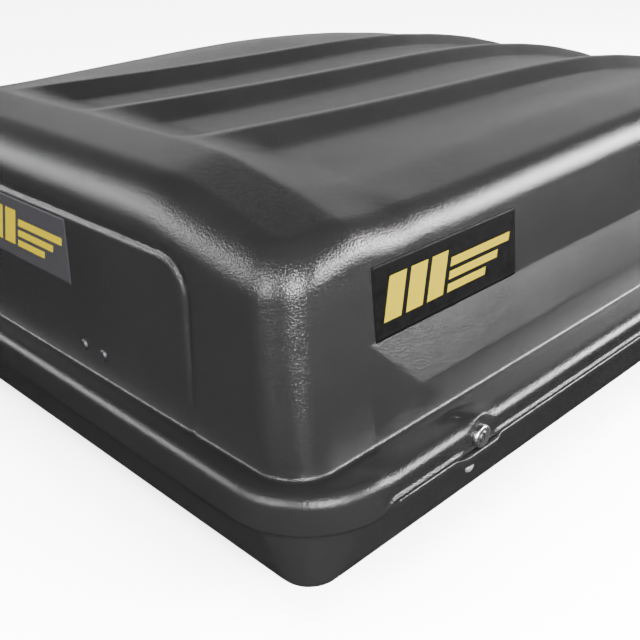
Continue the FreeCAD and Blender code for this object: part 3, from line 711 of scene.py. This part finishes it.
def give_materials(lid, base, films):
    sheet = plastic_sheet("black_thermoformed_sheet")
    knob = plastic_sheet("moulded_knob_plastic", 0.02, (0.45, 0.6))
    zinc = metal("zinc_plated_steel", (0.62, 0.62, 0.6), 0.34)
    bare = metal("bare_aluminium", (0.78, 0.78, 0.79), 0.38)
    sheet_metal = metal("mill_aluminium", (0.7, 0.7, 0.71), 0.42, 90.0)
    chrome = metal("plated_lock", (0.3, 0.3, 0.3), 0.28)
    blacked = metal("black_rivet", (0.03, 0.03, 0.032), 0.45)
    pad = rubber("clamp_pad_rubber")
    paint(lid, sheet)
    paint(base, sheet)
    side_print = film_shader("printed_side_film", (0.0006, 0.0006, 0.0006), 0.5)
    rear_print = film_shader("printed_rear_film", (0.006, 0.006, 0.0065), 0.35)
    for name, film in films.items():
        paint(film, rear_print if name == "rear" else side_print)
    for name, obj in NODES.items():
        if name in ("lid_shell", "base_tray"):
            paint(obj, sheet)
        elif "decal" in name or name == "rear_label":
            paint(obj, side_print)
        elif name.startswith("clamp_knob"):
            paint(obj, knob)
        elif name.startswith(("lock_body", "lock_plug")):
            paint(obj, chrome)
        elif name == "rear_rivets":
            paint(obj, blacked)
        elif "rivets" in name:
            paint(obj, bare)
        elif "saddles" in name:
            paint(obj, pad)
        elif "rail" in name or "rear_backing" in name:
            paint(obj, sheet_metal)
        else:
            paint(obj, zinc)


# ---- studio ---------------------------------------------------------------------------------------
def area_light(name, place, target, size, power):
    lamp = bpy.data.lights.new(name, "AREA")
    lamp.shape = "RECTANGLE"
    lamp.size, lamp.size_y = size
    lamp.energy = power
    obj = bpy.data.objects.new(name, lamp)
    bpy.context.scene.collection.objects.link(obj)
    obj.location = place
    obj.rotation_euler = (Vector(target) - Vector(place)).to_track_quat("-Z", "Y").to_euler()
    return obj


REAR_CORNER = (-0.72, -0.46, 0.22)
# name, place, target, size in metres and power in watts
SOFTBOXES = [("softbox_rear_corner", (-3.6, -0.75, 1.25), REAR_CORNER, (0.3, 1.8), 430.0),
             ("softbox_side_corner", (-1.9, -3.0, 1.25), REAR_CORNER, (0.3, 1.8), 1000.0),
             ("softbox_right", (1.8, -2.6, 1.15), (-0.2, -0.46, 0.3), (3.4, 0.7), 1300.0),
             ("softbox_left_rear", (-2.8, 2.1, 1.2), (-0.72, 0.0, 0.3), (2.4, 0.9), 220.0),
             ("softbox_far", (3.0, 3.0, 2.0), (0.0, 0.0, 0.3), (5.0, 1.0), 28.0)]
FLOOR_Z, FLOOR_REACH = -0.0555, 14.0


def make_studio():
    floor_mesh = bpy.data.meshes.new("floor")
    low, reach = FLOOR_Z, FLOOR_REACH
    floor_mesh.from_pydata([(-reach, -reach, low), (reach, -reach, low), (reach, reach, low),
                            (-reach, reach, low)], [], [(0, 1, 2, 3)])
    floor = bpy.data.objects.new("floor", floor_mesh)
    bpy.context.scene.collection.objects.link(floor)
    s = Shader("pale_floor", (0.95, 0.95, 0.95), 0.8, specular=0.1)
    s.link(s.mix(s.noise(2.0).outputs["Fac"], (0.94, 0.94, 0.94), (0.96, 0.96, 0.96)), "Base Color")
    paint(floor, s.material)
    floor.visible_glossy = False
    make_world()
    top_up = bpy.data.lights.new("soft_overhead", "SUN")
    top_up.energy = 20.0
    top_up.angle = 1.4
    overhead = bpy.data.objects.new("soft_overhead", top_up)
    bpy.context.scene.collection.objects.link(overhead)
    overhead.visible_glossy = False
    for name, place, target, size, power in SOFTBOXES:
        area_light(name, place, target, size, power)


def make_world():
    """White band above the horizon, dim overhead and below."""
    world = bpy.data.worlds.new("studio")
    world.use_nodes = True
    tree = world.node_tree
    back = tree.nodes["Background"]
    coords = tree.nodes.new("ShaderNodeTexCoord")
    axes = tree.nodes.new("ShaderNodeSeparateXYZ")
    tree.links.new(coords.outputs["Generated"], axes.inputs["Vector"])
    strength = None
    for low, high, start, end in ((-0.05, 0.02, 0.03, 0.9), (0.10, 0.60, 1.0, 0.05)):
        ramp = tree.nodes.new("ShaderNodeMapRange")
        for key, number in (("From Min", low), ("From Max", high), ("To Min", start), ("To Max", end)):
            ramp.inputs[key].default_value = number
        tree.links.new(axes.outputs["Z"], ramp.inputs["Value"])
        if strength is None:
            strength = ramp.outputs["Result"]
        else:
            product = tree.nodes.new("ShaderNodeMath")
            product.operation = "MULTIPLY"
            tree.links.new(strength, product.inputs[0])
            tree.links.new(ramp.outputs["Result"], product.inputs[1])
            strength = product.outputs[0]
    tree.links.new(strength, back.inputs["Strength"])
    back.inputs["Color"].default_value = (1.0, 1.0, 1.0, 1.0)
    bpy.context.scene.world = world


CAMERA_PLACE = (-1.1405, -0.9193, 0.5723)
CAMERA_TURN = (46.1906, 25.8468, -1.7443)       # yaw, pitch and roll in degrees


def make_camera():
    yaw, pitch, roll = np.radians(CAMERA_TURN)
    forward = np.array([np.cos(pitch) * np.cos(yaw), np.cos(pitch) * np.sin(yaw), -np.sin(pitch)])
    right = np.array([np.sin(yaw), -np.cos(yaw), 0.0])
    up = np.cross(right, forward)
    across = right * np.cos(roll) + up * np.sin(roll)
    upward = -right * np.sin(roll) + up * np.cos(roll)
    camera = bpy.data.objects.new("camera", bpy.data.cameras.new("camera"))
    bpy.context.scene.collection.objects.link(camera)
    camera.data.lens = 51.05
    camera.data.sensor_width = 36.0
    camera.data.clip_start = 0.01
    turn = Matrix((across, upward, -forward)).transposed().to_4x4()
    camera.matrix_world = Matrix.Translation(CAMERA_PLACE) @ turn
    bpy.context.scene.camera = camera


lid_piece = make_lid()
base_piece = make_base()
film_pieces = {"right": make_side_film("right", -1.0), "left": make_side_film("left", 1.0),
               "rear": make_rear_film()}
give_materials(lid_piece, base_piece, film_pieces)
make_studio()
make_camera()
